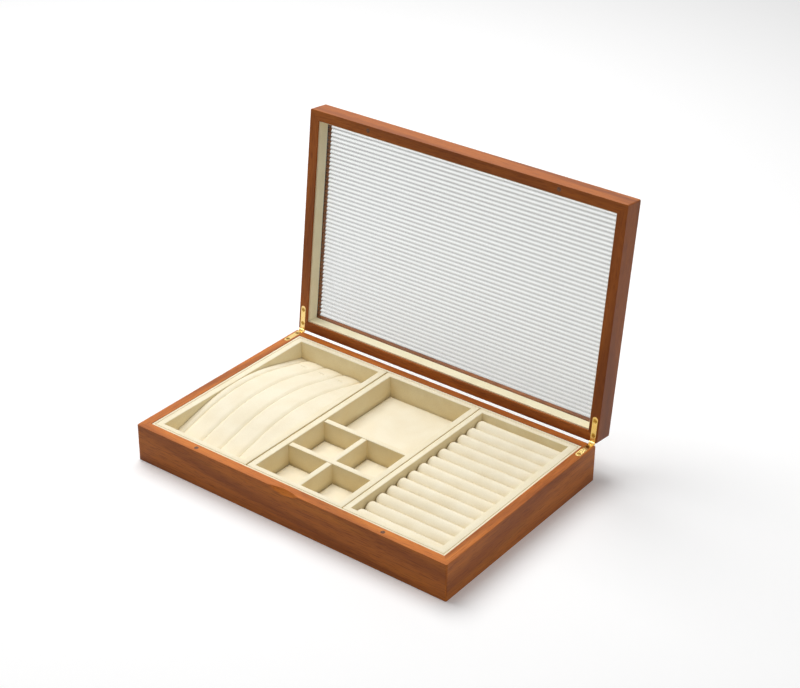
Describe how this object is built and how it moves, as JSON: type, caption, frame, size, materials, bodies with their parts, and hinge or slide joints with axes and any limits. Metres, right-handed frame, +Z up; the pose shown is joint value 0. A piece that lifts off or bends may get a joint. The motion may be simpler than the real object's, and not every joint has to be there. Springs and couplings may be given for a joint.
{
  "type": "jewellery chest",
  "caption": "Flat wooden jewellery chest with a hinged reeded-glass lid and lift-out velvet trays for necklaces, rings and small pieces.",
  "frame": {"origin": "centre of the base's underside", "axes": "+X to the right along the long side seen from the front, +Y to the back where the hinges are, +Z up"},
  "size_m": [0.34, 0.2678, 0.2588],
  "materials": {
    "stained_wood": "satin varnish",
    "under_board": "matt",
    "cream_velvet": "short pile",
    "reeded_glass": "clear, reeded inside",
    "brass": "polished",
    "magnet": "plated"
  },
  "bodies": {
    "base": {"base_front_wall": "stained_wood", "base_back_wall": "stained_wood", "base_left_wall": "stained_wood", "base_right_wall": "stained_wood", "base_bottom_panel": "under_board", "base_floor_lining": "cream_velvet", "base_side_linings": "cream_velvet", "base_end_linings": "cream_velvet", "base_magnets": "magnet", "left_hinge_base_leaf": "brass", "right_hinge_base_leaf": "brass", "hinge_pins": "brass", "hinge_base_screws": "brass"},
    "lid": {"lid_front_rail": "stained_wood", "lid_back_rail": "stained_wood", "lid_left_rail": "stained_wood", "lid_right_rail": "stained_wood", "lid_glass": "reeded_glass", "lid_side_linings": "cream_velvet", "lid_end_linings": "cream_velvet", "lid_magnets": "magnet", "left_hinge_lid_leaf": "brass", "right_hinge_lid_leaf": "brass", "hinge_lid_screws": "brass"},
    "necklace_tray": {"necklace_tray_front_wall": "cream_velvet", "necklace_tray_back_wall": "cream_velvet", "necklace_tray_left_wall": "cream_velvet", "necklace_tray_right_wall": "cream_velvet", "necklace_tray_floor": "cream_velvet", "ramp_block": "cream_velvet", "ramp_pad": "cream_velvet"},
    "compartment_tray": {"compartment_tray_front_wall": "cream_velvet", "compartment_tray_back_wall": "cream_velvet", "compartment_tray_left_wall": "cream_velvet", "compartment_tray_right_wall": "cream_velvet", "compartment_tray_floor": "cream_velvet", "main_divider": "cream_velvet", "cross_divider": "cream_velvet", "middle_divider": "cream_velvet", "large_pad": "cream_velvet", "small_pads": "cream_velvet"},
    "ring_tray": {"ring_tray_front_wall": "cream_velvet", "ring_tray_back_wall": "cream_velvet", "ring_tray_left_wall": "cream_velvet", "ring_tray_right_wall": "cream_velvet", "ring_tray_floor": "cream_velvet", "ring_roll_01": "cream_velvet", "ring_roll_02": "cream_velvet", "ring_roll_03": "cream_velvet", "ring_roll_04": "cream_velvet", "ring_roll_05": "cream_velvet", "ring_roll_06": "cream_velvet", "ring_roll_07": "cream_velvet", "ring_roll_08": "cream_velvet", "ring_roll_09": "cream_velvet", "ring_roll_10": "cream_velvet", "ring_roll_11": "cream_velvet", "ring_roll_12": "cream_velvet", "ring_roll_13": "cream_velvet"}
  },
  "joints": [
    {"name": "lid_hinge", "type": "hinge", "parent": "base", "child": "lid", "pos_m": [0, 0.1118, 0.0368], "axis": [-1, 0, 0], "range_deg": [-96, 0]},
    {"name": "necklace_tray_lift", "type": "slide", "parent": "base", "child": "necklace_tray", "axis": [0, 0, 1], "range_m": [0, 0.06]},
    {"name": "compartment_tray_lift", "type": "slide", "parent": "base", "child": "compartment_tray", "axis": [0, 0, 1], "range_m": [0, 0.06]},
    {"name": "ring_tray_lift", "type": "slide", "parent": "base", "child": "ring_tray", "axis": [0, 0, 1], "range_m": [0, 0.06]}
  ]
}
